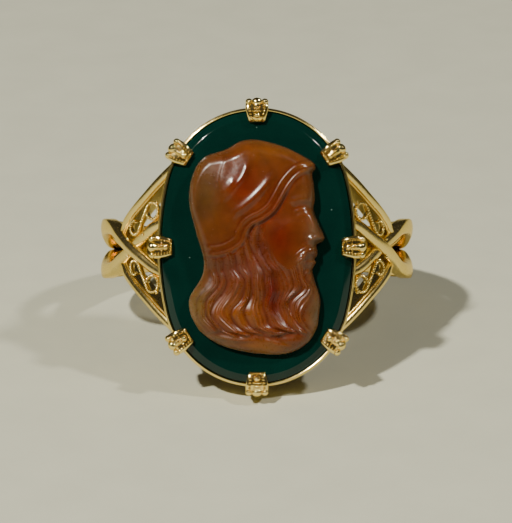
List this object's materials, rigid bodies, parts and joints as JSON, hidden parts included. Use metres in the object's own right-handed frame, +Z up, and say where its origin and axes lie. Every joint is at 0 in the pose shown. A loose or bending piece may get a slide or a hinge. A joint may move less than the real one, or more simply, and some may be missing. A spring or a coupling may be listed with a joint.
{
  "type": "cameo ring",
  "caption": "Gold ring with pierced crossing shoulders; claws hold an oval stone plate that carries a carved cameo bust in profile.",
  "frame": {"origin": "on the surface that the ring lies on, under the middle of its box", "axes": "+Z up, -Y towards the viewer of the cameo, +X to the viewer's right; the finger's axis leans back 22 degrees from +Z"},
  "size_m": [0.0216, 0.0254, 0.0188],
  "materials": {
    "gold": "polished yellow gold with satin bands and grained claws",
    "green_stone": "deep green chalcedony, polished flat with a polished bevel",
    "orange_stone": "carved and polished orange-brown carnelian, slightly translucent"
  },
  "bodies": {
    "root": {"ring_mount": "gold", "backing_stone": "green_stone", "cameo": "orange_stone"}
  },
  "joints": []
}
